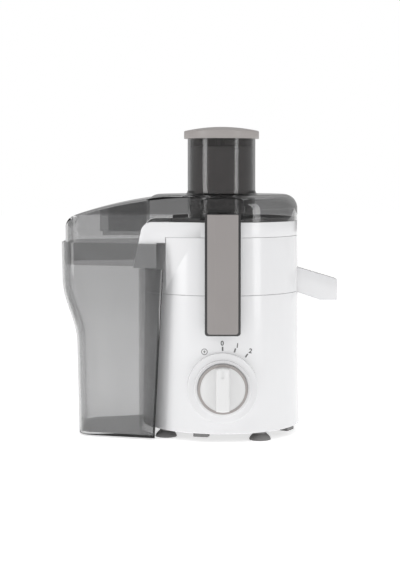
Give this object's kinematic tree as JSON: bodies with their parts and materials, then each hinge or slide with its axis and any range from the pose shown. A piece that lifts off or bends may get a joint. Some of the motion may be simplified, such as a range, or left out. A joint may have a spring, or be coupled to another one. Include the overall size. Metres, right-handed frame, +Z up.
{
  "type": "centrifugal juicer",
  "caption": "Upright centrifugal juicer: round white motor base, smoky lid with wide feed tube and pusher, side pulp container, hinged clamps, control knob and juice spout.",
  "frame": {"origin": "on the table, under the middle of the whole juicer's box", "axes": "+Z up, +X towards the spout, -X towards the pulp container, -Y is the knob's side"},
  "size_m": [0.3136, 0.2087, 0.3483],
  "materials": {
    "white_plastic": "glossy moulded",
    "smoke_plastic": "clear smoky",
    "taupe_plastic": "satin",
    "dark_plastic": "fine grain",
    "rubber": "soft matt",
    "steel": "brushed",
    "cast_bracket": "as cast",
    "core_iron": "laminated",
    "copper": "enamelled wire",
    "carbon": "sintered carbon"
  },
  "bodies": {
    "housing": {"base_plate": "dark_plastic", "base_screws": "steel", "brush_holders": "dark_plastic", "brush_springs": "steel", "carbon_brushes": "carbon", "cord_gland": "rubber", "feed_tube": "smoke_plastic", "field_core": "core_iron", "field_windings": "copper", "front_clamp_pin": "steel", "front_left_foot": "rubber", "front_right_foot": "rubber", "interlock_switch": "dark_plastic", "juice_collector": "white_plastic", "knob_bezel": "white_plastic", "lid": "smoke_plastic", "lid_seal": "rubber", "lower_bearing": "steel", "lower_bracket": "cast_bracket", "lower_housing": "white_plastic", "motor_screws": "steel", "pulp_container": "smoke_plastic", "rear_clamp_pin": "steel", "rear_left_foot": "rubber", "rear_right_foot": "rubber", "rotary_switch": "dark_plastic", "rubber_mounts": "rubber", "shaft_seal": "rubber", "suppressor": "dark_plastic", "upper_bearing": "steel", "upper_bracket": "cast_bracket", "upper_housing": "white_plastic"},
    "rotor": {"motor_shaft": "steel", "armature_core": "core_iron", "armature_windings": "copper", "commutator": "copper", "cooling_fan": "dark_plastic", "drive_coupling": "dark_plastic", "filter_base": "white_plastic", "filter_basket": "steel", "filter_rim": "white_plastic", "grater_disc": "steel"},
    "knob_dial": {"knob": "white_plastic", "knob_ring": "taupe_plastic", "switch_spindle": "dark_plastic"},
    "pusher": {"pusher_body": "smoke_plastic", "pusher_cap": "taupe_plastic"},
    "front_clamp": {"front_clamp_arm": "dark_plastic", "front_clamp_cover": "taupe_plastic"},
    "rear_clamp": {"rear_clamp_arm": "dark_plastic", "rear_clamp_cover": "taupe_plastic"}
  },
  "joints": [
    {"name": "filter_spin", "type": "hinge", "parent": "housing", "child": "rotor", "pos_m": [0.0248, 0.0039, 0.1925], "axis": [0, 0, 1], "continuous": true},
    {"name": "knob_turn", "type": "hinge", "parent": "housing", "child": "knob_dial", "pos_m": [0.0248, -0.0911, 0.0605], "axis": [0, 1, 0], "range_deg": [-26, 35]},
    {"name": "pusher_lift", "type": "slide", "parent": "housing", "child": "pusher", "axis": [0, 0, 1], "range_m": [0, 0.13]},
    {"name": "front_clamp_swing", "type": "hinge", "parent": "housing", "child": "front_clamp", "pos_m": [0.0248, -0.08818, 0.1238], "axis": [1, 0, 0], "range_deg": [0, 65]},
    {"name": "rear_clamp_swing", "type": "hinge", "parent": "housing", "child": "rear_clamp", "pos_m": [0.0248, 0.09598, 0.1238], "axis": [-1, 0, 0], "range_deg": [0, 65]}
  ]
}
